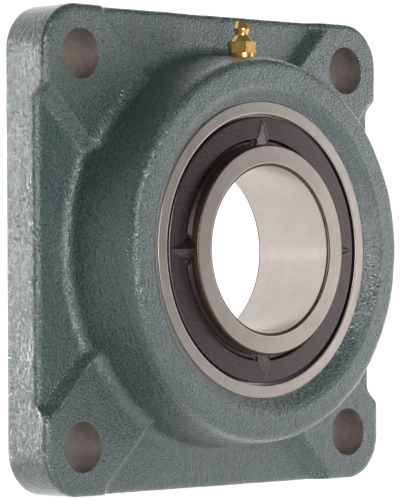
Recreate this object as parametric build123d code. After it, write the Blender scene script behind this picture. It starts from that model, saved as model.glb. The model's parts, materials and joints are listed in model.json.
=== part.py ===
from build123d import *
import os
from math import cos, radians, sin

# Flange mount bearing: a square four-bolt cast housing that carries a self-aligning ball
# bearing insert with a tapered bore.
#
# Frame, in millimetres: +Z up towards the grease fitting, the shaft axis along Y, the back
# face of the flange on the plane y = 0, the nose towards -Y, and the origin at the centre of
# the bolt pattern. "Depth" below is the distance forward of the back face, so y = -depth.
# "Reach" is the distance along the shaft axis from the centre of the bearing.

# How far a cutter runs past the face it opens
overrun = 1.0

# Housing
flange_width = 187.0
flange_corner_radius = 17.5
web_depth = 17.0
web_edge_radius = 2.2
pad_depth = 22.0
pad_edge_radius = 2.5
pad_crest_width = 39.2
pad_foot_width = 45.8
bolt_spacing = 149.0
bolt_hole_radius = 9.5
hub_root_radius = 77.5
hub_nose_radius = 75.0
hub_root_fillet = 4.2
hub_nose_fillet = 4.0
nose_depth = 50.0
nose_lip_radius = 63.5
nose_bevel_radius = 58.4
rear_cavity_radius = 61.0
rear_cavity_depth = 13.0
loading_slot_clearance = 0.5

# Bearing insert
centre_depth = 30.0
outer_ring_sphere = 60.0
outer_ring_width = 32.0
inner_ring_width = 40.0
inner_ring_radius = 41.0
bore_small_radius = 32.5
bore_taper = 1 / 12
bore_chamfer = 1.3
ring_chamfer = 0.7
ball_radius = 8.3345
ball_count = 10
ball_pitch_radius = 46.25
raceway_clearance = 0.03
groove_radius = 8.67
shoulder_radius = 51.4
mouth_radius = 53.0
snap_groove_radius = 53.6
snap_groove_reach = (10.2, 12.8)
seat_clearance = 0.05

# Cage
cage_inner_radius = 43.0
cage_outer_radius = 49.5
cage_thickness = 1.2
cage_pocket_clearance = 0.25
rivet_radius = 1.2
rivet_head_radius = 2.2
rivet_head_height = 0.8

# Seals and slingers
slinger_reach = 15.6
slinger_radius = 51.9
slinger_thickness = 0.8
slinger_collar_length = 1.8
slinger_floor_width = 1.7
slinger_step_width = 0.7
slinger_step_height = 1.5
slinger_step_back = 0.5
slinger_rim_length = 2.0
slinger_rim_chamfer = 0.6
dart_root_gap = 0.05
dart_tip_radius = 50.8
dart_width = 7.0
dart_rise = 1.7
dart_count = 4
seal_core_reach = (10.6, 11.6)
seal_core_inner_radius = 42.6
seal_rim_reach = 12.7
seal_rim_width = 1.0
lip_clearance = 0.3
lip_cover = 0.3
lip_overlap = 1.4

# Locking pin between the outer ring and the housing
pin_radius = 2.0
pin_hole_clearance = 0.03
pin_inner_end = 57.0
pin_outer_end = 62.3
pin_end_gap = 0.05
keyway_half_width = 2.3
keyway_end_gap = 0.4
keyway_depth = 36.0

# Lubrication
fitting_depth = 34.5
thread_radius = 4.9
thread_bottom = 67.5
passage_radius = 2.0
grease_groove_reach = (2.0, 11.0)
grease_groove_radius = 61.4
ring_hole_radius = 1.25
ring_hole_reach = 8.4

# Grease fitting, heights along Z
hex_flats = 10.0
collar_height = 0.7
hex_height = 4.4
fitting_base = 76.6
fitting_bore_radius = 1.55
fitting_mouth_radius = 0.8
fitting_tip = 89.8
fitting_shoulder_radius = 4.6
neck_radius = 2.5
neck_heights = (2.6, 3.3)
bulb_radius = 3.1
bulb_heights = (4.7, 5.3)
tip_radius = 1.95
mouth_length = 1.6
check_ball_radius = 1.2
check_ball_gap = 0.03
retainer_bottom = 79.0
retainer_top = 80.0
retainer_hole_radius = 0.7
spring_wire_radius = 0.2
spring_coil_radius = 0.95
spring_turns = 6


def lathe(profile):
    """Turn a sketch of (radius, y) about the shaft axis."""
    return revolve(profile, Axis.Y)


def region(*points):
    """Face through (radius, depth) points."""
    return make_face(Polyline(*[(r, -depth) for r, depth in points], close=True))


def slab(inner, outer, near, far):
    """Rectangular face between two radii and two depths."""
    return region((inner, near), (outer, near), (outer, far), (inner, far))


def ring_region(*points):
    """Face through (radius, reach) points."""
    return region(*[(r, centre_depth + reach) for r, reach in points])


def ring_slab(inner, outer, near, far):
    """Rectangular face between two radii and two reaches."""
    return slab(inner, outer, centre_depth + near, centre_depth + far)


def at_centre(radius, angle):
    """Point in the bearing's centre plane."""
    return Vector(radius * cos(radians(angle)), -centre_depth, radius * sin(radians(angle)))


def to_rear(shape):
    """Mirror a piece of the insert through the bearing's centre plane."""
    return mirror(shape, Plane.XZ.offset(centre_depth))


def upright(radius, bottom, top):
    """Cylinder about the grease fitting's axis."""
    post = Cylinder(radius, top - bottom, align=(Align.CENTER, Align.CENTER, Align.MIN))
    return Pos(0, -fitting_depth, bottom) * post


def corner_pads():
    """Raised bands along both diagonals, from each corner in to the hub."""
    outline = extrude(Plane.XZ * RectangleRounded(flange_width, flange_width, flange_corner_radius),
                      pad_depth)
    outline = fillet(outline.faces().sort_by(Axis.Y)[0].edges(), pad_edge_radius)
    reach = flange_width * 1.5
    section = Polygon((-pad_foot_width / 2, 0), (pad_foot_width / 2, 0),
                      (pad_foot_width / 2, web_depth), (pad_crest_width / 2, pad_depth),
                      (-pad_crest_width / 2, pad_depth), (-pad_foot_width / 2, web_depth),
                      align=None)
    band = extrude(Plane((-reach / 2, 0, 0), x_dir=(0, 0, 1), z_dir=(1, 0, 0)) * section, reach)
    bands = Rot(0, 45, 0) * band + Rot(0, -45, 0) * band
    return outline & bands


def hub():
    """Round nose with a fillet at its root and round its front edge."""
    foot = hub_root_radius + 2 * hub_root_fillet
    profile = region((0, 0), (foot, 0), (foot, web_depth), (hub_root_radius, web_depth),
                     (hub_nose_radius, nose_depth), (0, nose_depth))
    root = profile.vertices().sort_by_distance((hub_root_radius, -web_depth, 0))[0]
    profile = fillet(root, hub_root_fillet)
    nose = profile.vertices().sort_by_distance((hub_nose_radius, -nose_depth, 0))[0]
    profile = fillet(nose, hub_nose_fillet)
    return lathe(profile)


def housing_hollow():
    """Everything removed from the middle of the housing, seen from the axis outwards."""
    front = centre_depth + outer_ring_width / 2
    seat = Pos(0, -centre_depth) * Circle(outer_ring_sphere + seat_clearance)
    seat &= slab(0, outer_ring_sphere + overrun, rear_cavity_depth, front)
    bevel = region((0, front), (nose_bevel_radius, front), (nose_lip_radius, nose_depth),
                   (nose_lip_radius, nose_depth + overrun), (0, nose_depth + overrun))
    cavity = slab(0, rear_cavity_radius, -overrun, rear_cavity_depth)
    groove = ring_slab(0, grease_groove_radius, *grease_groove_reach)
    return lathe(seat + bevel + cavity + groove)


def housing():
    plate = extrude(Plane.XZ * RectangleRounded(flange_width, flange_width, flange_corner_radius),
                    web_depth)
    plate = fillet(plate.faces().sort_by(Axis.Y)[0].edges(), web_edge_radius)
    body = plate + corner_pads() + hub()
    body -= housing_hollow()
    slot_width = outer_ring_width + 2 * loading_slot_clearance
    slot_length = 2 * (outer_ring_sphere + loading_slot_clearance)
    body -= Pos(0, -centre_depth / 2, 0) * Box(slot_length, centre_depth, slot_width)
    keyway_reach = pin_outer_end + keyway_end_gap
    body -= Pos(keyway_reach / 2, -keyway_depth / 2, 0) * Box(keyway_reach, keyway_depth,
                                                             2 * keyway_half_width)
    body -= upright(thread_radius, thread_bottom - overrun, fitting_tip)
    body -= upright(passage_radius, outer_ring_sphere - overrun, thread_bottom)
    for hole in GridLocations(bolt_spacing, bolt_spacing, 2, 2):
        body -= extrude(Plane.XZ * hole * Circle(bolt_hole_radius), pad_depth + overrun)
    return body


def outer_ring():
    half = outer_ring_width / 2
    profile = Pos(0, -centre_depth) * Circle(outer_ring_sphere)
    profile &= ring_slab(shoulder_radius, outer_ring_sphere + overrun, -half, half)
    bottom = ball_pitch_radius + ball_radius + raceway_clearance
    profile -= Pos(bottom - groove_radius, -centre_depth) * Circle(groove_radius)
    for side in (-1, 1):
        near, far = sorted(side * reach for reach in snap_groove_reach)
        profile -= ring_slab(shoulder_radius - overrun, snap_groove_radius, near, far)
        near, far = sorted((side * snap_groove_reach[1], side * (half + overrun)))
        profile -= ring_slab(shoulder_radius - overrun, mouth_radius, near, far)
    ring = lathe(profile)
    lube_hole = Cylinder(ring_hole_radius, 4 * outer_ring_sphere)
    ring -= Pos(0, -centre_depth - ring_hole_reach, 0) * lube_hole
    pin_hole = Cylinder(pin_radius + pin_hole_clearance, pin_outer_end - pin_inner_end,
                        align=(Align.CENTER, Align.CENTER, Align.MIN))
    return ring - Pos(pin_inner_end, -centre_depth, 0) * Rot(0, 90, 0) * pin_hole


def inner_ring():
    half = inner_ring_width / 2
    bore_large_radius = bore_small_radius + inner_ring_width * bore_taper / 2
    profile = ring_region((bore_small_radius, half - bore_chamfer),
                          (bore_small_radius + bore_chamfer, half),
                          (inner_ring_radius - ring_chamfer, half),
                          (inner_ring_radius, half - ring_chamfer),
                          (inner_ring_radius, ring_chamfer - half),
                          (inner_ring_radius - ring_chamfer, -half),
                          (bore_large_radius + bore_chamfer, -half),
                          (bore_large_radius, bore_chamfer - half))
    bottom = ball_pitch_radius - ball_radius - raceway_clearance
    profile -= Pos(bottom + groove_radius, -centre_depth) * Circle(groove_radius)
    return lathe(profile)


def ball(index):
    angle = 360 / ball_count * index
    return Pos(at_centre(ball_pitch_radius, angle)) * Sphere(ball_radius)


def cage_half():
    """Front half: a flat ring pressed into a half-round pocket at each ball."""
    pocket = ball_radius + cage_pocket_clearance
    inside = Rot(90, 0, 0) * Sphere(pocket)
    outside = Rot(90, 0, 0) * Sphere(pocket + cage_thickness)
    band = lathe(ring_slab(cage_inner_radius, cage_outer_radius, 0, pocket + 2 * cage_thickness))
    half = lathe(ring_slab(cage_inner_radius, cage_outer_radius, 0, cage_thickness))
    centres = [Pos(at_centre(ball_pitch_radius, 360 / ball_count * k)) for k in range(ball_count)]
    for centre in centres:
        half += centre * outside & band
    for centre in centres:
        half -= centre * inside
    return half


def cage_rivets():
    shank = Cylinder(rivet_radius, 2 * cage_thickness)
    head = Cylinder(rivet_head_radius, rivet_head_height)
    offset = cage_thickness + rivet_head_height / 2
    rivet = Rot(90, 0, 0) * (shank + Pos(0, 0, offset) * head + Pos(0, 0, -offset) * head)
    step = 360 / ball_count
    return [Pos(at_centre(ball_pitch_radius, step * (k + 0.5))) * rivet
            for k in range(ball_count)]


def rivet_holes():
    hole = Rot(90, 0, 0) * Cylinder(rivet_radius, 4 * cage_thickness)
    step = 360 / ball_count
    return [Pos(at_centre(ball_pitch_radius, step * (k + 0.5))) * hole
            for k in range(ball_count)]


def slinger():
    """Front slinger: a collar on the inner ring, a stepped disc, and pressed darts."""
    inner = inner_ring_radius
    wall = slinger_thickness
    front = slinger_reach
    floor = front - slinger_step_height
    end = floor - slinger_collar_length
    rim = slinger_radius
    rim_end = front - slinger_rim_length
    step_foot = inner + slinger_floor_width
    step_head = step_foot + slinger_step_width
    disc = lathe(ring_region((inner, end), (inner, floor), (step_foot, floor), (step_head, front),
                             (rim - slinger_rim_chamfer, front), (rim, front - slinger_rim_chamfer),
                             (rim, rim_end), (rim - wall, rim_end), (rim - wall, front - wall),
                             (step_head + slinger_step_back, front - wall),
                             (step_foot + slinger_step_back, floor - wall),
                             (inner + wall, floor - wall), (inner + wall, end)))
    root = inner + dart_root_gap
    half = dart_width / 2
    outline = [(floor - wall / 2, -half), (front, -half), (front + dart_rise, 0), (front, half),
               (floor - wall / 2, half)]
    base = Face(Wire.make_polygon([(root, -centre_depth - reach, z) for reach, z in outline]))
    tip = Vertex(dart_tip_radius, -centre_depth - front + wall / 2, 0)
    dart = loft([base, tip])
    for k in range(dart_count):
        disc += Rot(0, 360 / dart_count * k, 0) * dart
    return disc - lathe(ring_slab(0, inner, 0, inner_ring_width))


def seal_core():
    """Front seal case: a disc with a rim that snaps into the outer ring."""
    near, far = seal_core_reach
    outer = snap_groove_radius
    rim = outer - seal_rim_width
    return lathe(ring_region((seal_core_inner_radius, near), (outer, near),
                             (outer, seal_rim_reach), (rim, seal_rim_reach),
                             (rim, far), (seal_core_inner_radius, far)))


def seal_lip():
    """Front lip: rubber moulded round the inner edge of the seal case."""
    near, far = seal_core_reach
    rubber = ring_slab(inner_ring_radius + lip_clearance, seal_core_inner_radius + lip_overlap,
                       near - lip_cover, far + lip_cover)
    return lathe(rubber - ring_slab(seal_core_inner_radius, outer_ring_sphere, near, far))


def locking_pin():
    bottom = pin_inner_end + pin_end_gap
    pin = Cylinder(pin_radius, pin_outer_end - bottom,
                   align=(Align.CENTER, Align.CENTER, Align.MIN))
    return Pos(bottom, -centre_depth, 0) * Rot(0, 90, 0) * pin


def grease_fitting_body():
    hex_bottom = fitting_base + collar_height
    hex_top = hex_bottom + hex_height
    hexagon = RegularPolygon(hex_flats / 2, 6, major_radius=False)
    body = upright(thread_radius, thread_bottom, fitting_base)
    body += upright(hex_flats / 2, fitting_base, hex_bottom)
    body += extrude(Plane((0, -fitting_depth, hex_bottom)) * hexagon, hex_height)
    outline = Polyline((0, hex_top), (fitting_shoulder_radius, hex_top),
                       (neck_radius, hex_top + neck_heights[0]),
                       (neck_radius, hex_top + neck_heights[1]),
                       (bulb_radius, hex_top + bulb_heights[0]),
                       (bulb_radius, hex_top + bulb_heights[1]),
                       (tip_radius, fitting_tip), (0, fitting_tip), close=True)
    head = revolve(Plane.XZ * make_face(outline), Axis.Z)
    body += Pos(0, -fitting_depth, 0) * head
    body -= upright(fitting_bore_radius, thread_bottom, fitting_tip - mouth_length)
    return body - upright(fitting_mouth_radius, thread_bottom, fitting_tip)


def check_ball_height():
    """Height at which the check ball just clears the edge of the mouth."""
    seat_drop = (check_ball_radius ** 2 - fitting_mouth_radius ** 2) ** 0.5
    return fitting_tip - mouth_length - seat_drop - check_ball_gap


def grease_fitting_ball():
    return Pos(0, -fitting_depth, check_ball_height()) * Sphere(check_ball_radius)


def grease_fitting_retainer():
    disc = upright(fitting_bore_radius, retainer_bottom, retainer_top)
    return disc - upright(retainer_hole_radius, retainer_bottom, retainer_top)


def grease_fitting_spring():
    bottom = retainer_top + spring_wire_radius
    top = check_ball_height() - check_ball_radius - spring_wire_radius
    path = Pos(0, -fitting_depth, bottom) * Helix((top - bottom) / spring_turns, top - bottom,
                                                  spring_coil_radius)
    return sweep(Plane(path @ 0, z_dir=path % 0) * Circle(spring_wire_radius), path=path)


pieces = {
    "housing": housing(),
    "grease_fitting_body": grease_fitting_body(),
    "grease_fitting_ball": grease_fitting_ball(),
    "grease_fitting_spring": grease_fitting_spring(),
    "grease_fitting_retainer": grease_fitting_retainer(),
    "locking_pin": locking_pin(),
    "outer_ring": outer_ring(),
    "inner_ring": inner_ring(),
    "seal_core_front": seal_core(),
    "seal_lip_front": seal_lip(),
    "slinger_front": slinger(),
    "cage_front_half": cage_half() - rivet_holes(),
    "cage_rivets": Compound(children=cage_rivets()),
}
for name in ("seal_core", "seal_lip", "slinger"):
    pieces[f"{name}_rear"] = to_rear(pieces[f"{name}_front"])
pieces["cage_rear_half"] = to_rear(pieces["cage_front_half"])
for number in range(ball_count):
    pieces[f"ball_{number + 1:02d}"] = ball(number)

os.makedirs("parts", exist_ok=True)
for name, piece in pieces.items():
    export_step(piece, f"parts/{name}.step")
    print(f"{name}: {piece.volume:.1f} mm3")
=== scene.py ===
import json
import math

import bpy
import numpy as np
from mathutils import Matrix, Vector, noise

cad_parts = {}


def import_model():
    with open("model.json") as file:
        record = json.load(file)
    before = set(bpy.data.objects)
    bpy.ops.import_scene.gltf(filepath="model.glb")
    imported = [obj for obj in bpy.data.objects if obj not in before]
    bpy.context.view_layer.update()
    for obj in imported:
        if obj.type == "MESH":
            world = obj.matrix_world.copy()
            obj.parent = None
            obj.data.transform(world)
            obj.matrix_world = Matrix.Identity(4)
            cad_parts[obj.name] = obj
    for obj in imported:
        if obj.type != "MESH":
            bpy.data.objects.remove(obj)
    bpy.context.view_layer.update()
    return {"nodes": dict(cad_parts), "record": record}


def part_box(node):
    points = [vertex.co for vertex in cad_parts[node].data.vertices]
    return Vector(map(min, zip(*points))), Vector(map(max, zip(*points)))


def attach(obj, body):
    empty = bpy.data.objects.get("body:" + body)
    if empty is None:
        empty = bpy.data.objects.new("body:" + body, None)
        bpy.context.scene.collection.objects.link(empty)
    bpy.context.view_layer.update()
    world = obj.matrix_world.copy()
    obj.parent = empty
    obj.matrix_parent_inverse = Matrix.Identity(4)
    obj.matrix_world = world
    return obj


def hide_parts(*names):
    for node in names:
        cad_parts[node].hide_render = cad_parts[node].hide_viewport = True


# Flange mount bearing. Lengths in this file are millimetres until a mesh is made, when they
# become metres. The shaft axis is Y, the flange's back face is y = 0 and the nose looks along
# -Y. "Depth" is the distance forward of the back face, "reach" the distance along the shaft
# from the bearing's centre.

MM = 0.001
RING_COLUMNS = 256
HOUSING_COLUMNS = 704
STAGE_COLUMNS = 180

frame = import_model()


def millimetres(node):
    """(lowest, highest) corner of a CAD node in millimetres."""
    low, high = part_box(node)
    return np.array(low) / MM, np.array(high) / MM


housing_low, housing_high = millimetres("housing")
ring_low, ring_high = millimetres("outer_ring")
inner_low, inner_high = millimetres("inner_ring")
slinger_high = millimetres("slinger_front")[1]

# Housing
half_width = housing_high[0]
nose_depth = -housing_low[1]
corner_radius = 17.5
web_depth = 17.0
pad_depth = 22.0
pad_crest = 19.6
pad_foot = 22.9
web_edge = 3.0
pad_edge = 3.2
edge_drop = 0.6
bolt_hole_radius = 9.5
bolt_offset = frame["record"]["mounts"][0]["dims"]["spacing_x_mm"] / 2
hole_rim = 0.45
hub_root = 77.5
hub_nose = 75.0
hub_fillet = 4.2
nose_round = 4.2
lip_radius = 63.5
lip_round = 1.3
bevel_radius = 58.4
cavity_radius = 61.0
cavity_depth = 13.0
slot_reach = 60.5
slot_half_width = 16.5
keyway_reach = 62.7
keyway_half_width = 2.3
keyway_depth = 36.0

# Bearing
centre_depth = -(ring_low[1] + ring_high[1]) / 2
sphere_radius = 60.0
seat_radius = 60.05
outer_half = (ring_high[1] - ring_low[1]) / 2
inner_half = (inner_high[1] - inner_low[1]) / 2
inner_radius = inner_high[0]
bore_radius = 32.5
bore_taper = 1 / 24
raceway_radius = 8.67
slinger_front = 15.6
slinger_radius = slinger_high[0]


# Meshes

def mesh_object(name, points, faces, materials, face_materials=None):
    """Object from millimetre points, smooth shaded, with its normals outward."""
    mesh = bpy.data.meshes.new(name)
    mesh.from_pydata((np.asarray(points) * MM).tolist(), [], faces)
    for material in materials:
        mesh.materials.append(material)
    if face_materials is not None:
        mesh.polygons.foreach_set("material_index", face_materials)
    mesh.validate()
    mesh.shade_smooth()
    obj = bpy.data.objects.new(name, mesh)
    bpy.context.scene.collection.objects.link(obj)
    return obj


def soft_max(a, b, width):
    """The larger of two values, rounded where they cross."""
    blend = np.maximum(width - np.abs(a - b), 0) / width
    return np.maximum(a, b) + blend ** 2 * width / 4


def soft_min(a, b, width):
    return -soft_max(-a, -b, width)


def line(start, end, count):
    """Points from start up to but not including end."""
    steps = np.arange(count)[:, None] / count
    return np.asarray(start) * (1 - steps) + np.asarray(end) * steps


def rounded_outline(corners, steps=5, spacing=0.35):
    """Closed outline through (radius, reach, rounding) corners, with support points close to
    each rounded corner so that the flats between them shade flat."""
    outline = []
    corners = [np.array(c, float) for c in corners]
    for before, corner, after in zip(corners[-1:] + corners[:-1], corners,
                                     corners[1:] + corners[:1]):
        back = before[:2] - corner[:2]
        ahead = after[:2] - corner[:2]
        back_length = np.linalg.norm(back)
        ahead_length = np.linalg.norm(ahead)
        back = back / back_length
        ahead = ahead / ahead_length
        half_angle = math.acos(np.clip(back @ ahead, -1, 1)) / 2
        cut = min(corner[2] / math.tan(half_angle), 0.45 * back_length, 0.45 * ahead_length)
        radius = cut * math.tan(half_angle)
        centre = corner[:2] + (back + ahead) / np.linalg.norm(back + ahead) * math.hypot(cut, radius)
        start = corner[:2] + back * cut
        end = corner[:2] + ahead * cut
        if back_length > 2 * (cut + spacing):
            outline.append(start + back * spacing)
        first = start - centre
        last = end - centre
        sweep_angle = math.acos(np.clip(first @ last / (radius * radius), -1, 1))
        for k in range(steps + 1):
            t = k / steps
            mix = (math.sin((1 - t) * sweep_angle) * first + math.sin(t * sweep_angle) * last)
            outline.append(centre + mix / math.sin(sweep_angle))
        if ahead_length > 2 * (cut + spacing):
            outline.append(end + ahead * spacing)
    return np.array(outline)


def arc(centre, radius, start, end, steps):
    """Points of an arc, angles in degrees from the radius direction towards +reach."""
    angles = np.radians(np.linspace(start, end, steps + 1))
    return np.stack([centre[0] + radius * np.cos(angles), centre[1] + radius * np.sin(angles)], 1)


def ring_grid(outline, angles):
    """(rows, columns, 3) points of an outline of (radius, reach) turned about the shaft."""
    radius = outline[:, 0:1]
    cos, sin = np.cos(angles)[None, :], np.sin(angles)[None, :]
    y = np.repeat(-centre_depth - outline[:, 1:2], len(angles), axis=1)
    return np.stack([radius * cos, y, radius * sin], -1)


def grid_faces(rows, columns):
    """Quads of a grid that closes on itself both ways."""
    row, column = np.meshgrid(np.arange(rows), np.arange(columns), indexing="ij")
    next_row, next_column = (row + 1) % rows, (column + 1) % columns
    quads = np.stack([row * columns + column, row * columns + next_column,
                      next_row * columns + next_column, next_row * columns + column], -1)
    return quads.reshape(-1, 4)


def outward(obj):
    """Turn the faces outward if the enclosed volume comes out negative."""
    mesh = obj.data
    mesh.calc_loop_triangles()
    points = np.empty(len(mesh.vertices) * 3, np.float32)
    mesh.vertices.foreach_get("co", points)
    corners = np.empty(len(mesh.loop_triangles) * 3, np.int32)
    mesh.loop_triangles.foreach_get("vertices", corners)
    a, b, c = np.moveaxis(points.reshape(-1, 3)[corners.reshape(-1, 3)], 1, 0)
    if np.einsum("ij,ij->i", a, np.cross(b, c)).sum() < 0:
        mesh.flip_normals()
    return obj


def lathe(name, outline, materials, row_material=None):
    """Closed ring turned from an outline of (radius, reach)."""
    angles = np.arange(RING_COLUMNS) * 2 * math.pi / RING_COLUMNS
    return close_ring(name, ring_grid(outline, angles), materials, row_material)


def close_ring(name, points, materials, row_material=None):
    """Object from a grid of points that closes on itself both ways."""
    rows, columns = points.shape[:2]
    faces = grid_faces(rows, columns)
    face_materials = None
    if row_material is not None:
        face_materials = np.repeat(np.asarray(row_material, np.int32), columns)
    return outward(mesh_object(name, points.reshape(-1, 3), faces.tolist(), materials,
                               face_materials))


# Housing

def column_angles():
    """Even steps round the shaft, with extra columns at the sides of the loading slots and
    the keyway so that their walls stand straight."""
    first_angle = 0.002
    angles = list(np.arange(HOUSING_COLUMNS) * 2 * math.pi / HOUSING_COLUMNS + first_angle)
    step_width = math.radians(0.03)
    slot_angle = math.asin(slot_half_width / seat_radius)
    key_angle = math.asin(keyway_half_width / keyway_reach)
    edges = [side * slot_angle + turn for side in (-1, 1) for turn in (0, math.pi)]
    edges += [-key_angle, key_angle]
    for edge in edges:
        angles += [edge - step_width, edge + step_width]
    return np.array(sorted(a % (2 * math.pi) for a in angles))


def flange_outline(angles):
    """Outline points and outward normals of the rounded square, along rays from the axis."""
    direction = np.stack([np.cos(angles), np.sin(angles)], -1)
    along = np.abs(direction)
    major, minor = along.max(1), along.min(1)
    centre = half_width - corner_radius
    reach = half_width / major
    dot = (major + minor) * centre
    root = np.sqrt(np.maximum(dot ** 2 - 2 * centre ** 2 + corner_radius ** 2, 0))
    in_corner = reach * minor > centre
    reach = np.where(in_corner, dot + root, reach)
    points = direction * reach[:, None]
    corner = np.sign(direction) * centre
    radial = (points - corner) / corner_radius
    flat = np.where(along == major[:, None], np.sign(direction), 0.0)
    normals = np.where(in_corner[:, None], radial, flat)
    return points, normals


def pad_share(points):
    """1 on the corner pads, 0 on the web between them, with a sloping side."""
    across = np.abs(np.abs(points[..., 0]) - np.abs(points[..., 1])) / math.sqrt(2)
    slope = (pad_foot - across) / (pad_foot - pad_crest)
    return np.clip(soft_min(soft_max(slope, 0.0, 0.4), 1.0, 0.2), 0, 1)


def front_depth(points):
    """Depth of the flange's front face, from the web to the pads."""
    return web_depth + (pad_depth - web_depth) * pad_share(points)


def gathered_rows(start, end, count):
    """Points from start to end of every ray, closer together where the ray crosses the bends
    at the top and the foot of a pad's side."""
    samples = 600
    bend_width = 0.9
    gathering = 4
    steps = np.linspace(0, 1, samples)[:, None, None]
    ray = start * (1 - steps) + end * steps
    across = np.abs(np.abs(ray[..., 0]) - np.abs(ray[..., 1])) / math.sqrt(2)
    bends = (np.exp(-((across - pad_crest) / bend_width) ** 2)
             + np.exp(-((across - pad_foot) / bend_width) ** 2))
    length = np.cumsum(1 + gathering * bends, axis=0)
    length = (length - length[0]) / (length[-1] - length[0])
    wanted = np.linspace(0, 1, count)
    share = np.stack([np.interp(wanted, length[:, k], steps[:, 0, 0]) for k in range(len(start))], 1)
    share[0], share[-1] = 0, 1
    return start * (1 - share[..., None]) + end * share[..., None]


def in_plane(points, depth):
    """3-D points from (x, z) points and a depth."""
    depth = np.broadcast_to(depth, points.shape[:-1])
    return np.stack([points[..., 0], -depth, points[..., 1]], -1)


def housing_rows(angles):
    """Closed outline of the housing at every angle, as sections of (rows, columns, 3)."""
    unit = np.stack([np.cos(angles), np.sin(angles)], -1)

    def turned(outline):
        """The same (radius, depth) outline at every angle."""
        return np.stack([in_plane(unit * r, d) for r, d in outline])

    front = centre_depth + outer_half
    nose = [(bevel_radius - 0.4, front - 0.3), (bevel_radius, front)]
    nose += list(line((bevel_radius, front), (lip_radius, nose_depth), 7))[1:]
    lip_angles = np.radians(np.linspace(130, 90, 5))
    lip_centre = np.array([lip_radius + lip_round, nose_depth - lip_round])
    nose += [(lip_centre[0] + lip_round * math.cos(a), lip_centre[1] + lip_round * math.sin(a))
             for a in lip_angles]
    face_end = hub_nose - nose_round
    nose += list(line((lip_centre[0], nose_depth), (face_end, nose_depth), 7))[1:]
    round_centre = (face_end, nose_depth - nose_round)
    nose += [(round_centre[0] + nose_round * math.sin(a), round_centre[1] + nose_round * math.cos(a))
             for a in np.radians(np.linspace(0, 88, 10))]

    outline, normal = flange_outline(angles)
    start = unit * (hub_root + hub_fillet)
    floor = front_depth(start)
    root_top = floor + hub_fillet
    draft = (hub_root - hub_nose) / (nose_depth - web_depth)

    def hub_side(depth):
        return hub_root - draft * (depth - web_depth)

    flank_start = nose_depth - nose_round - 0.3
    flank = []
    for share in np.linspace(0.03, 1, 20):
        depth = flank_start + (root_top - flank_start) * share
        flank.append(in_plane(unit * hub_side(depth)[:, None], depth))
    root = []
    wall = hub_side(root_top)
    for turn in np.radians(np.linspace(12, 90, 8)):
        radius = wall + (hub_root + hub_fillet - wall) * (1 - math.cos(turn))
        depth = floor + hub_fillet * (1 - math.sin(turn))
        root.append(in_plane(unit * radius[:, None], depth))
    root = root[:-1]

    edge_round = web_edge + (pad_edge - web_edge) * pad_share(outline - normal * pad_edge)
    edge_start = outline - normal * edge_round[:, None]
    plane_rows = gathered_rows(start, edge_start, 46)
    flange_front = in_plane(plane_rows, front_depth(plane_rows))

    edge_depth = front_depth(edge_start)
    edge = []
    for turn in np.radians(np.linspace(8, 90, 10)):
        shift = edge_round * (1 - math.sin(turn))
        depth = edge_depth - edge_drop * edge_round * (1 - math.cos(turn))
        edge.append(in_plane(outline - normal * shift[:, None], depth))
    side_top = edge_depth - edge_drop * edge_round
    back_edge = 1.0
    side = [in_plane(outline, side_top * (1 - t) + back_edge * t) for t in np.linspace(0.08, 1, 10)]
    corner = [in_plane(outline - normal * (back_edge * (1 - math.cos(t))),
                       back_edge * (1 - math.sin(t))) for t in np.radians([30, 60, 90])]
    flange_back = in_plane(plane_rows[::-1], 0.0)

    x, z = np.abs(unit[:, 0]), np.abs(unit[:, 1])
    in_slot = z / np.maximum(x, 1e-6) * slot_reach < slot_half_width
    in_key = (z / np.maximum(x, 1e-6) * keyway_reach < keyway_half_width) & (unit[:, 0] > 0)
    radius = np.where(in_slot, slot_reach / np.maximum(x, 1e-6), cavity_radius)
    radius = np.where(in_key, keyway_reach / np.maximum(x, 1e-6), radius)
    ledge = np.where(in_slot, centre_depth, cavity_depth)
    ledge = np.where(in_key, keyway_depth, ledge)
    mouth = 0.7
    back_rings = (79, 74, 69)
    inside = [in_plane(unit * r, 0.0) for r in back_rings]
    inside += [in_plane(unit * (radius + mouth + g)[:, None], 0.0) for g in (2.0, 0.3, 0.0)]
    for turn in np.radians([45, 90]):
        inside.append(in_plane(unit * (radius + mouth * (1 - math.sin(turn)))[:, None],
                               mouth * (1 - math.cos(turn))))
    for share in (0.03, 0.35, 0.68, 0.97, 1.0):
        inside.append(in_plane(unit * radius[:, None], mouth + (ledge - mouth) * share))
    for share in np.linspace(0, 1, 15):
        depth = ledge + (front - ledge) * share
        depth = depth - 0.3 * (share == 1)
        height = np.sqrt(seat_radius ** 2 - (depth - centre_depth) ** 2)
        inside.append(in_plane(unit * height[:, None], depth))
    return {"nose": turned(nose), "flank": np.stack(flank), "root": np.stack(root),
            "flange_front": flange_front, "edge": np.stack(edge), "side": np.stack(side),
            "corner": np.stack(corner), "flange_back": flange_back, "inside": np.stack(inside)}


PAINTED = {"nose", "flank", "root", "flange_front", "edge", "side"}


def roughen_casting(points, sections):
    """Low, uneven swellings that a sand mould leaves on the painted surfaces."""
    swelling, swelling_length = 0.16, 15
    ripple, ripple_length = 0.07, 4
    ripple_shift = Vector((50, 0, 0))
    rows = points.shape[0]
    along = np.roll(points, -1, 0) - np.roll(points, 1, 0)
    around = np.roll(points, -1, 1) - np.roll(points, 1, 1)
    normals = np.cross(along, around)
    normals /= np.maximum(np.linalg.norm(normals, axis=-1, keepdims=True), 1e-9)
    strength = np.array([float(name in PAINTED) for name in sections])
    strength = np.convolve(np.pad(strength, 3, mode="edge"), np.ones(7) / 7, mode="valid")
    moved = points.copy()
    for i in range(rows):
        if strength[i] < 0.01:
            continue
        for j in range(points.shape[1]):
            place = Vector(points[i, j])
            wave = (swelling * noise.noise(place / swelling_length)
                    + ripple * noise.noise(place / ripple_length + ripple_shift))
            moved[i, j] -= normals[i, j] * wave * strength[i]
    return moved


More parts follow.
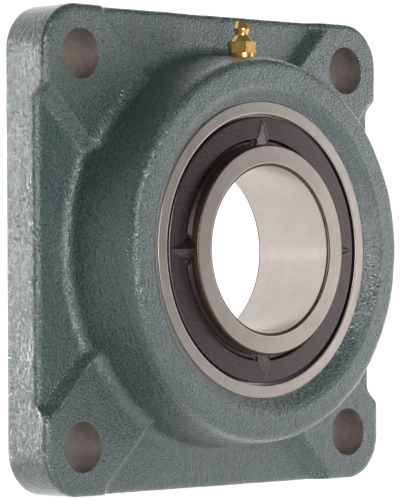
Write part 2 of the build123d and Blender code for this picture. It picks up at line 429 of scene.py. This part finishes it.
def cut_bolt_holes(points, faces, sections):
    """Opens the four bolt holes. The grid round each hole is taken away, and rings of new
    points lead from the edge that leaves to the hole's rim, down its wall and out again at
    the back. Returns the points, the faces kept with their old numbers, and the new faces
    with their step along the way."""
    columns = points.shape[1]
    names = np.array(sections)
    front_rows = np.flatnonzero(names == "flange_front")
    back_rows = np.flatnonzero(names == "flange_back")
    twin_row = dict(zip(front_rows.tolist(), back_rows[::-1].tolist()))
    rim = bolt_hole_radius + hole_rim
    clearance = 2.2
    smoothing = 6
    window = 2 * smoothing + 1
    flat = points.reshape(-1, 3)
    centres = [np.array([sx * bolt_offset, sz * bolt_offset]) for sx in (-1, 1) for sz in (-1, 1)]
    removed = np.zeros(points.shape[:2], bool)
    for front, back in twin_row.items():
        plane = points[front][:, [0, 2]]
        near = np.min([np.linalg.norm(plane - centre, axis=-1) for centre in centres], axis=0)
        removed[front] |= near < rim + clearance
        removed[back] = removed[front]
    removed = removed.reshape(-1)
    origin = [k for k, face in enumerate(faces) if not removed[face].any()]
    kept = [faces[k] for k in origin]
    directed = {(a, b) for face in kept for a, b in zip(face, face[1:] + face[:1])}
    follows = {a: b for a, b in directed if (b, a) not in directed and a // columns in twin_row
               and b // columns in twin_row}

    extra = []
    made = []
    while follows:
        loop = [next(iter(follows))]
        while loop[-1] in follows:
            loop.append(follows.pop(loop[-1]))
        loop.pop()
        first = flat[loop]
        centre = min(centres, key=lambda c: np.hypot(*(first[:, [0, 2]].mean(0) - c)))
        offset = first[:, [0, 2]] - centre
        turn = np.unwrap(np.arctan2(offset[:, 1], offset[:, 0]))
        whole = 2 * math.pi * np.sign(turn[-1] - turn[0])
        wide = np.concatenate([turn[-smoothing:] - whole, turn, turn[:smoothing] + whole])
        turn = np.convolve(wide, np.ones(window) / window, mode="valid")
        unit = np.stack([np.cos(turn), np.sin(turn)], -1)
        top = -first[:, 1].mean()

        rings = []
        for share in (0.3, 0.6, 0.85):
            place = offset * (1 - share) + unit * rim * share
            rings.append((place, -first[:, 1] * (1 - share) + top * share))
        rings.append((unit * rim, top))
        for angle in np.radians([25, 50, 75, 90]):
            rings.append((unit * (rim - hole_rim * math.sin(angle)),
                          top - hole_rim * (1 - math.cos(angle))))
        for share in (0.04, 0.2, 0.4, 0.6, 0.8, 0.96, 1.0):
            rings.append((unit * bolt_hole_radius, (top - hole_rim) * (1 - share) + hole_rim * share))
        for angle in np.radians([60, 30, 0]):
            rings.append((unit * (rim - hole_rim * math.sin(angle)),
                          hole_rim * (1 - math.cos(angle))))
        for share in (0.85, 0.6, 0.3):
            rings.append((offset * (1 - share) + unit * rim * share, 0.0))

        numbers = [loop]
        for place, depth in rings:
            number = len(flat) + len(extra)
            extra.extend(in_plane(centre + place, depth))
            numbers.append(list(range(number, number + len(loop))))
        numbers.append([twin_row[v // columns] * columns + v % columns for v in loop])
        for step, (upper, lower) in enumerate(zip(numbers, numbers[1:])):
            for k in range(len(loop)):
                after = (k + 1) % len(loop)
                made.append(([upper[after], upper[k], lower[k], lower[after]], step))
    return np.vstack([flat, np.array(extra)]), kept, origin, made


def make_housing(paint, side_paint_with_painted_glints, bare):
    """Painted casting with open bolt holes and a bare back, seat and cavity."""
    angles = column_angles()
    parts = housing_rows(angles)
    points = np.concatenate(list(parts.values()))
    sections = [name for name, rows in parts.items() for _ in range(len(rows))]
    columns = len(angles)
    points = roughen_casting(points, sections)
    faces = grid_faces(len(sections), columns).tolist()
    points, kept, origin, made = cut_bolt_holes(points, faces, sections)
    # The flange's side faces take the side paint, whose strong grain tint holds painted glints and
    # shade of light on the grain.
    slot_of = {"side": 1, "corner": 1, "flange_back": 2, "inside": 2}
    face_materials = [slot_of.get(sections[index // columns], 0) for index in origin]
    painted_steps = 6
    face_materials += [0 if step < painted_steps else 2 for _, step in made]
    all_faces = kept + [face for face, _ in made]
    return outward(mesh_object("housing_casting", points, all_faces, [paint, side_paint_with_painted_glints, bare],
                               face_materials))


# Bearing insert

def groove_arc(bottom, towards_axis, width, steps=16):
    """Raceway groove points from the far side to the near side of the ring."""
    half_angle = math.degrees(math.asin(width / raceway_radius))
    if towards_axis:
        return arc((bottom + raceway_radius, 0), raceway_radius, 180 - half_angle, 180 + half_angle,
                   steps)
    return arc((bottom - raceway_radius, 0), raceway_radius, half_angle, -half_angle, steps)


def make_inner_ring(ground, bore, corner):
    """Ring with a tapered bore, a raceway and dark, unground corners."""
    corner_round = 0.75
    bore_round = 1.1
    groove_depth = 3.1145
    groove_half_width = 6.656
    large = bore_radius + 2 * inner_half * bore_taper
    corners = [(inner_radius, inner_half, corner_round), (bore_radius, inner_half, bore_round),
               (large, -inner_half, bore_round), (inner_radius, -inner_half, corner_round)]
    groove = groove_arc(inner_radius - groove_depth, True, groove_half_width)
    outline = close_with_groove(rounded_outline(corners), groove)
    middle = (outline + np.roll(outline, -1, axis=0)) / 2
    on_bore = middle[:, 0] < large + 0.01
    off_face = (inner_half - np.abs(middle[:, 1]) > 0.01) & (inner_half - np.abs(middle[:, 1]) < 0.9)
    off_side = (middle[:, 0] < inner_radius - 0.01) & (np.abs(middle[:, 1]) > inner_half - 1.1)
    row_material = np.where(on_bore, 1, 0)
    row_material[off_face & off_side] = 2
    return lathe("inner_ring_ground", outline, [ground, bore, corner], row_material=row_material)


def close_with_groove(shell, groove):
    """Inserts a groove in a shell outline, between the two points either side of it."""
    gaps = []
    for k in range(len(shell)):
        a, b = shell[k], shell[(k + 1) % len(shell)]
        middle = (a + b) / 2
        gaps.append(abs(middle[1]) + abs(middle[0] - groove[0][0]))
    at = int(np.argmin(gaps))
    if (groove[0][1] - groove[-1][1]) * (shell[at][1] - shell[(at + 1) % len(shell)][1]) < 0:
        groove = groove[::-1]
    return np.vstack([shell[:at + 1], groove, shell[at + 1:]])


def make_outer_ring(ground):
    """Ring with a spherical outside, a raceway and a groove at each end for its seal case."""
    half = outer_half
    edge = math.sqrt(sphere_radius ** 2 - half ** 2)
    sweep = math.degrees(math.asin(half / sphere_radius)) - 0.35
    outside = arc((0, 0), sphere_radius, -sweep, sweep, 28)
    groove_bottom = 54.6145
    groove_half_width = 6.739
    mouth = 53.0
    snap, snap_outer, snap_inner = 53.6, 12.8, 10.2
    shoulder, shoulder_end = 51.4, 6.9
    groove = groove_arc(groove_bottom, False, groove_half_width)
    front = [(edge - 0.04, half - 0.08), (edge - 0.12, half), (edge - 0.4, half),
             (mouth + 0.9, half), (mouth + 0.5, half), (mouth + 0.2, half - 0.04),
             (mouth + 0.05, half - 0.15), (mouth, half - 0.4), (mouth, snap_outer + 0.05),
             (mouth + 0.05, snap_outer), (snap, snap_outer), (snap, snap_inner),
             (shoulder + 0.05, snap_inner), (shoulder, snap_inner - 0.05),
             (shoulder, shoulder_end)]
    front = np.array(front)
    back = front[::-1] * [1, -1]
    outline = np.vstack([outside, front, groove, back])
    return lathe("outer_ring_ground", outline, [ground])


def slinger_angles():
    """Columns round the slinger, close together across each pressed dart."""
    dart_angle = 5.6
    near = np.radians(np.linspace(-dart_angle, dart_angle, 29))
    between = np.radians(np.linspace(dart_angle, 90 - dart_angle, 47))[1:-1]
    quarter = np.concatenate([near, between])
    return np.concatenate([quarter + k * math.pi / 2 for k in range(4)]) % (2 * math.pi)


def make_slinger(name, metal, side):
    """Pressed disc with a collar on the inner ring and four darts. side is 1 for the front."""
    inner = inner_radius + 0.02
    wall = 0.8
    front = slinger_front
    floor = front - 1.5
    collar_end = floor - 1.8
    flat_end = inner + 1.7
    step_end = inner + 2.4
    inside_shift = 0.5
    rim = slinger_radius
    rim_end = front - 2
    corners = [(inner, collar_end, 0.15), (inner, floor, 0.1), (flat_end, floor, 0.5),
               (step_end, front, 0.45), (rim, front, 0.7), (rim, rim_end, 0.1),
               (rim - wall, rim_end, 0.1), (rim - wall, front - wall, 0.3),
               (step_end + inside_shift, front - wall, 0.3),
               (flat_end + inside_shift, floor - wall, 0.3),
               (inner + wall, floor - wall, 0.3), (inner + wall, collar_end, 0.15)]
    outline = rounded_outline(corners, steps=4)
    front_spacing = 0.5
    dense = []
    for a, b in zip(outline, np.roll(outline, -1, axis=0)):
        on_front = max(a[1], b[1]) > floor - 0.1
        pieces = max(1, int(np.linalg.norm(b - a) / front_spacing)) if on_front else 1
        dense += list(line(a, b, pieces))
    outline = np.array(dense)
    angles = slinger_angles()
    points = ring_grid(outline, angles)
    across = (angles + math.pi / 4) % (math.pi / 2) - math.pi / 4
    tip = 51.2
    half_base = 4.2
    base_rise = 2.2
    foot = 0.15
    for row, (radius, reach) in enumerate(outline):
        facing = reach > floor - 0.15 and radius < tip
        under = radius > inner + 2.5 and reach < front - 0.3
        if not facing or under:
            continue
        taper = (tip - radius) / (tip - inner)
        offset = np.abs(radius * np.sin(across))
        rise = base_rise * taper ** 0.8
        half = half_base * taper ** 0.9
        top = front - foot + (rise + foot) * np.clip(1 - offset / max(half, 1e-6), -1, 1)
        wall_share = np.clip((half * 1.06 - offset) / (half * 0.12 + 0.05), 0, 1)
        lifted = np.maximum(reach, reach + (np.maximum(top, front - 0.1) - reach) * wall_share)
        points[row, :, 1] = -centre_depth - lifted
    points[..., 1] = -centre_depth + side * (points[..., 1] + centre_depth)
    return close_ring(name, points, [metal])


# Materials

def new_material(name):
    material = bpy.data.materials.new(name)
    material.use_nodes = True
    nodes = material.node_tree.nodes
    return material, nodes, material.node_tree.links, nodes["Principled BSDF"]


def node(nodes, kind, **settings):
    made = nodes.new(kind)
    for key, value in settings.items():
        if key in made.inputs:
            made.inputs[key].default_value = value
        else:
            setattr(made, key, value)
    return made


def noise_node(nodes, links, coordinates, scale, detail=2.0, roughness=0.5):
    made = node(nodes, "ShaderNodeTexNoise", Scale=scale, Detail=detail, Roughness=roughness)
    links.new(coordinates, made.inputs["Vector"])
    return made


def ramp(nodes, links, value, stops):
    """Colour ramp from (position, colour) stops."""
    made = nodes.new("ShaderNodeValToRGB")
    elements = made.color_ramp.elements
    while len(elements) < len(stops):
        elements.new(0.5)
    for element, (position, colour) in zip(elements, stops):
        element.position = position
        element.color = (*colour, 1.0) if len(colour) == 3 else colour
    links.new(value, made.inputs["Fac"])
    return made.outputs["Color"]


def remap(nodes, links, value, low, high, new_low, new_high):
    made = nodes.new("ShaderNodeMapRange")
    for key, number in zip(("From Min", "From Max", "To Min", "To Max"),
                           (low, high, new_low, new_high)):
        made.inputs[key].default_value = number
    links.new(value, made.inputs["Value"])
    return made.outputs["Result"]


def calculate(nodes, links, operation, first, second=None):
    made = node(nodes, "ShaderNodeMath", operation=operation)
    for slot_index, value in enumerate((first, second)):
        if value is None:
            continue
        if isinstance(value, (int, float)):
            made.inputs[slot_index].default_value = value
        else:
            links.new(value, made.inputs[slot_index])
    return made.outputs["Value"]


def bump(nodes, links, height, distance, strength=1.0, normal=None):
    made = node(nodes, "ShaderNodeBump", Distance=distance, Strength=strength)
    links.new(height, made.inputs["Height"])
    if normal is not None:
        links.new(normal, made.inputs["Normal"])
    return made.outputs["Normal"]


def object_coordinates(nodes):
    return nodes.new("ShaderNodeTexCoord").outputs["Object"]


def radius_from_shaft(nodes, links, coordinates):
    """Distance from the shaft axis, in metres."""
    split = nodes.new("ShaderNodeSeparateXYZ")
    links.new(coordinates, split.inputs["Vector"])
    x2 = calculate(nodes, links, "POWER", split.outputs["X"], 2.0)
    z2 = calculate(nodes, links, "POWER", split.outputs["Z"], 2.0)
    return calculate(nodes, links, "SQRT", calculate(nodes, links, "ADD", x2, z2))


def cast_paint(name, hollow, crest, grain_scale, coat_roughness, lump_height):
    """Glossy green-grey enamel that follows the grain of the sand casting. hollow and crest
    multiply its colour in the grain's hollows and on its crests; the lighter crests are partly
    the grain's own tone and partly painted glints, highlights of light painted into the colour."""
    material, nodes, links, shader = new_material(name)
    where = object_coordinates(nodes)
    grain = noise_node(nodes, links, where, grain_scale, 2.0, 0.6).outputs["Fac"]
    fine = noise_node(nodes, links, where, 2300, 1.0, 0.5).outputs["Fac"]
    lumps = noise_node(nodes, links, where, 300, 2.0, 0.5).outputs["Fac"]
    patches = noise_node(nodes, links, where, 28, 3.0, 0.6).outputs["Fac"]
    colour = ramp(nodes, links, patches, [(0.35, (0.024, 0.046, 0.042)),
                                          (0.65, (0.034, 0.059, 0.054))])
    # Grain tint: darker hollows and lighter crests, partly the grain's own tone and partly painted
    # glints of light.
    grain_and_glint_tint = ramp(nodes, links, grain, [(0.36, (hollow,) * 3), (0.66, (crest,) * 3)])
    mix = node(nodes, "ShaderNodeMix", data_type="RGBA", blend_type="MULTIPLY")
    mix.inputs["Factor"].default_value = 1.0
    links.new(colour, mix.inputs[6])
    links.new(grain_and_glint_tint, mix.inputs[7])
    links.new(mix.outputs[2], shader.inputs["Base Color"])
    links.new(remap(nodes, links, fine, 0.3, 0.7, 0.16, 0.26), shader.inputs["Roughness"])
    shader.inputs["Specular IOR Level"].default_value = 0.5
    shader.inputs["Coat Weight"].default_value = 1.0
    shader.inputs["Coat Roughness"].default_value = coat_roughness
    first = bump(nodes, links, lumps, lump_height, 0.6)
    second = bump(nodes, links, grain, 0.0009, 0.8, first)
    third = bump(nodes, links, fine, 0.0003, 0.6, second)
    links.new(third, shader.inputs["Normal"])
    links.new(bump(nodes, links, grain, 0.0007, 0.7, first), shader.inputs["Coat Normal"])
    return material


def bare_iron():
    """Machined grey iron: bolt holes, back face and seat."""
    material, nodes, links, shader = new_material("bare_iron")
    where = object_coordinates(nodes)
    mottling = noise_node(nodes, links, where, 260, 4.0, 0.65).outputs["Fac"]
    colour = ramp(nodes, links, mottling, [(0.3, (0.12, 0.098, 0.085)), (0.7, (0.23, 0.19, 0.17))])
    links.new(colour, shader.inputs["Base Color"])
    shader.inputs["Metallic"].default_value = 0.6
    links.new(remap(nodes, links, mottling, 0.3, 0.7, 0.5, 0.68), shader.inputs["Roughness"])
    radius = radius_from_shaft(nodes, links, where)
    marks = calculate(nodes, links, "SINE", calculate(nodes, links, "MULTIPLY", radius, 9000.0))
    first = bump(nodes, links, marks, 0.00001, 0.5)
    links.new(bump(nodes, links, mottling, 0.0001, 0.4, first), shader.inputs["Normal"])
    return material


def ground_steel(name, light, dark, roughness, mark_depth):
    """Ground bearing steel with fine turning marks round the shaft axis."""
    material, nodes, links, shader = new_material(name)
    where = object_coordinates(nodes)
    radius = radius_from_shaft(nodes, links, where)
    split = nodes.new("ShaderNodeSeparateXYZ")
    links.new(where, split.inputs["Vector"])
    station = node(nodes, "ShaderNodeCombineXYZ")
    links.new(radius, station.inputs["X"])
    links.new(split.outputs["Y"], station.inputs["Y"])
    lines = noise_node(nodes, links, station.outputs["Vector"], 5200, 3.0, 0.7).outputs["Fac"]
    stain = noise_node(nodes, links, where, 90, 4.0, 0.6).outputs["Fac"]
    speckle = noise_node(nodes, links, where, 1000, 2.0, 0.6).outputs["Fac"]
    both = calculate(nodes, links, "ADD", calculate(nodes, links, "MULTIPLY", stain, 0.7),
                     calculate(nodes, links, "MULTIPLY", speckle, 0.3))
    links.new(ramp(nodes, links, both, [(0.35, dark), (0.65, light)]), shader.inputs["Base Color"])
    shader.inputs["Metallic"].default_value = 1.0
    links.new(remap(nodes, links, lines, 0.3, 0.7, roughness - 0.05, roughness + 0.07),
              shader.inputs["Roughness"])
    links.new(bump(nodes, links, lines, mark_depth, 0.6), shader.inputs["Normal"])
    return material


def simple_metal(name, colour, roughness, scale=700, variation=0.12, metallic=1.0):
    """Plain metal with a fine uneven finish."""
    material, nodes, links, shader = new_material(name)
    where = object_coordinates(nodes)
    texture = noise_node(nodes, links, where, scale, 3.0, 0.6).outputs["Fac"]
    dark = tuple(c * (1 - variation) for c in colour)
    light = tuple(min(1.0, c * (1 + variation)) for c in colour)
    links.new(ramp(nodes, links, texture, [(0.35, dark), (0.65, light)]),
              shader.inputs["Base Color"])
    shader.inputs["Metallic"].default_value = metallic
    links.new(remap(nodes, links, texture, 0.3, 0.7, roughness * 0.85, roughness * 1.2),
              shader.inputs["Roughness"])
    links.new(bump(nodes, links, texture, 0.00001, 0.3), shader.inputs["Normal"])
    return material


def rubber():
    """Dull black seal rubber."""
    material, nodes, links, shader = new_material("seal_rubber")
    where = object_coordinates(nodes)
    texture = noise_node(nodes, links, where, 1600, 2.0, 0.5).outputs["Fac"]
    links.new(ramp(nodes, links, texture, [(0.3, (0.012, 0.012, 0.012)), (0.7, (0.03, 0.03, 0.03))]),
              shader.inputs["Base Color"])
    links.new(remap(nodes, links, texture, 0.3, 0.7, 0.5, 0.7), shader.inputs["Roughness"])
    links.new(bump(nodes, links, texture, 0.00005, 0.4), shader.inputs["Normal"])
    return material


def assign(names, material):
    """Gives a material to CAD pieces that keep their own mesh."""
    for name in names:
        obj = frame["nodes"][name]
        obj.data.materials.clear()
        obj.data.materials.append(material)


# Pieces

paint = cast_paint("cast_paint", hollow=0.62, crest=1.36, grain_scale=1000,
                   coat_roughness=0.09, lump_height=0.0005)
# Side paint: coarser grain with a much stronger tint; its strong light-and-dark speckle is painted
# glints and painted shade of the side light on the grain.
side_paint_with_painted_glints = cast_paint("cast_paint_side_painted_glints", hollow=0.15, crest=2.1, grain_scale=850,
                        coat_roughness=0.08, lump_height=0.0001)
iron = bare_iron()
ring_steel = ground_steel("ring_steel", (0.38, 0.338, 0.313), (0.32, 0.284, 0.263), 0.3, 0.00002)
bore_steel = ground_steel("bore_steel", (0.54, 0.485, 0.455), (0.48, 0.43, 0.405), 0.27, 0.00001)
corner_steel = simple_metal("unground_corner", (0.085, 0.06, 0.042), 0.4, 600, 0.3)
slinger_metal = simple_metal("slinger_phosphate", (0.078, 0.066, 0.068), 0.3, 900, 0.15)
brass = simple_metal("fitting_brass", (0.66, 0.42, 0.13), 0.28, 500, 0.10)
seal_metal = simple_metal("seal_steel", (0.40, 0.39, 0.38), 0.35)
cage_metal = simple_metal("cage_steel", (0.46, 0.44, 0.42), 0.32)
ball_metal = simple_metal("ball_steel", (0.72, 0.72, 0.73), 0.07, 300, 0.02)
pin_metal = simple_metal("pin_steel", (0.48, 0.47, 0.46), 0.25)
black_rubber = rubber()

casting = make_housing(paint, side_paint_with_painted_glints, iron)
inner = make_inner_ring(ring_steel, bore_steel, corner_steel)
outer = make_outer_ring(ring_steel)
front_slinger = make_slinger("slinger_front_pressed", slinger_metal, 1)
rear_slinger = make_slinger("slinger_rear_pressed", slinger_metal, -1)

for piece, replaced, body, slot_name in (
        (casting, "housing", "housing", "housing_paint"),
        (inner, "inner_ring", "inner_ring", "ring_steel"),
        (outer, "outer_ring", "outer_ring", "ring_steel"),
        (front_slinger, "slinger_front", "inner_ring", "slinger_steel"),
        (rear_slinger, "slinger_rear", "inner_ring", "slinger_steel")):
    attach(piece, body)
    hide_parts(replaced)

assign(["grease_fitting_body", "grease_fitting_retainer"], brass)
assign(["seal_core_front", "seal_core_rear"], seal_metal)
assign(["seal_lip_front", "seal_lip_rear"], black_rubber)
assign(["cage_front_half", "cage_rear_half", "cage_rivets"], cage_metal)
assign(["grease_fitting_ball"] + [f"ball_{k:02d}" for k in range(1, 11)], ball_metal)
assign(["grease_fitting_spring", "locking_pin"], pin_metal)


# Stage, light and camera

def stage_floor():
    """Round pale floor whose rim curves up into a wall behind the object and at its sides.
    The floor and the wall are clear from outside, so the object shows from every side."""
    level = housing_low[2]
    flat_radius = 1000
    curve = 600
    wall_radius = flat_radius + curve
    outline = [(0.5, 0), (flat_radius, 0)]
    outline += [(flat_radius + curve * math.sin(t), curve * (1 - math.cos(t)))
                for t in np.radians(np.linspace(6, 90, 15))]
    outline += [(wall_radius, 1500), (wall_radius, 2400)]
    turns = np.arange(STAGE_COLUMNS) * 2 * math.pi / STAGE_COLUMNS
    from_front = np.degrees(np.abs((turns + math.pi) % (2 * math.pi) - math.pi))
    left_opening, right_opening, wall_run_up = 110, 100, 25
    opening = np.where(turns > math.pi, left_opening, right_opening)
    wall_share = np.clip((from_front - opening) / wall_run_up, 0, 1)
    front = math.radians(270)
    points = [[radius * math.cos(front + turn), radius * math.sin(front + turn),
               level + height * share]
              for radius, height in outline for turn, share in zip(turns, wall_share)]
    faces = []
    for row in range(len(outline) - 1):
        inner_row, outer_row = row * STAGE_COLUMNS, (row + 1) * STAGE_COLUMNS
        for k in range(STAGE_COLUMNS):
            after = (k + 1) % STAGE_COLUMNS
            faces.append([inner_row + k, outer_row + k, outer_row + after, inner_row + after])
    material, nodes, links, shader = new_material("stage_white")
    shader.inputs["Base Color"].default_value = (0.3, 0.3, 0.3, 1)
    shader.inputs["Roughness"].default_value = 1.0
    shader.inputs["Specular IOR Level"].default_value = 0.0
    shader.inputs["Emission Color"].default_value = (1, 1, 1, 1)
    shader.inputs["Emission Strength"].default_value = 0.95
    geometry = node(nodes, "ShaderNodeNewGeometry")
    clear = node(nodes, "ShaderNodeBsdfTransparent")
    mix = node(nodes, "ShaderNodeMixShader")
    links.new(geometry.outputs["Backfacing"], mix.inputs[0])
    links.new(shader.outputs[0], mix.inputs[1])
    links.new(clear.outputs[0], mix.inputs[2])
    links.new(mix.outputs[0], nodes["Material Output"].inputs["Surface"])
    floor = mesh_object("stage_floor", points, faces, [material])
    return floor


def area_light(name, place, target, size, power, spread=180):
    """Rectangular light at a place in metres, facing a target. power is in watts, spread in
    degrees."""
    data = bpy.data.lights.new(name, "AREA")
    data.shape = "RECTANGLE"
    data.size, data.size_y = size
    data.energy = power
    data.spread = math.radians(spread)
    light = bpy.data.objects.new(name, data)
    bpy.context.scene.collection.objects.link(light)
    light.location = place
    direction = Vector(target) - Vector(place)
    light.rotation_euler = direction.to_track_quat("-Z", "Y").to_euler()
    light.visible_camera = False


def toward(turn, elevation, distance):
    """Place at a turn from -X towards -Y and an elevation, in degrees, and a distance in metres."""
    turn, elevation = math.radians(turn), math.radians(elevation)
    return Vector((-math.cos(turn) * math.cos(elevation), -math.sin(turn) * math.cos(elevation),
                   math.sin(elevation))) * distance


def camera():
    """Long lens, level with the bearing and 45 degrees round to its left."""
    azimuth, elevation, roll = (math.radians(a) for a in (-45.168, -0.62, -0.379))
    distance = 1.21771
    target = Vector((-0.00941, -0.020, 0.000203))
    back = Vector((math.sin(azimuth) * math.cos(elevation),
                   -math.cos(azimuth) * math.cos(elevation), math.sin(elevation)))
    right = (-back).cross(Vector((0, 0, 1))).normalized()
    up = right.cross(-back)
    right, up = (right * math.cos(roll) + up * math.sin(roll),
                 up * math.cos(roll) - right * math.sin(roll))
    data = bpy.data.cameras.new("camera")
    data.lens = 222.73
    data.sensor_width = 36
    view = bpy.data.objects.new("camera", data)
    bpy.context.scene.collection.objects.link(view)
    turn = Matrix((right, up, back)).transposed().to_4x4()
    view.matrix_world = Matrix.Translation(target + back * distance) @ turn
    bpy.context.scene.camera = view
    return view


def lights():
    """Tall key light in front and a little to the left, a weak strip behind the left side
    that lights it, a panel on the right and a weak one behind the left."""
    area_light("key", toward(70, 2, 1.2), (0, 0, 0), (0.05, 0.6), 15)
    left_side = Vector((-0.100, -0.011, 0))
    area_light("left_strip", left_side + toward(-60, 0, 0.45), left_side, (0.02, 0.3), 0.016,
               spread=9)
    area_light("right_panel", (0.412, -0.205, 0.0), (0.162, 0.109, 0), (0.30, 0.5), 0.9)
    area_light("back_glow", toward(-45, 0, 1.3), (0, 0, 0), (0.5, 0.4), 0.25)


def world():
    """Dim white surroundings."""
    made = bpy.data.worlds.new("studio")
    made.use_nodes = True
    background = made.node_tree.nodes["Background"]
    background.inputs["Color"].default_value = (1, 1, 1, 1)
    background.inputs["Strength"].default_value = 0.2
    bpy.context.scene.world = made


stage_floor()
lights()
camera()
world()
bpy.context.scene.view_settings.view_transform = "Standard"
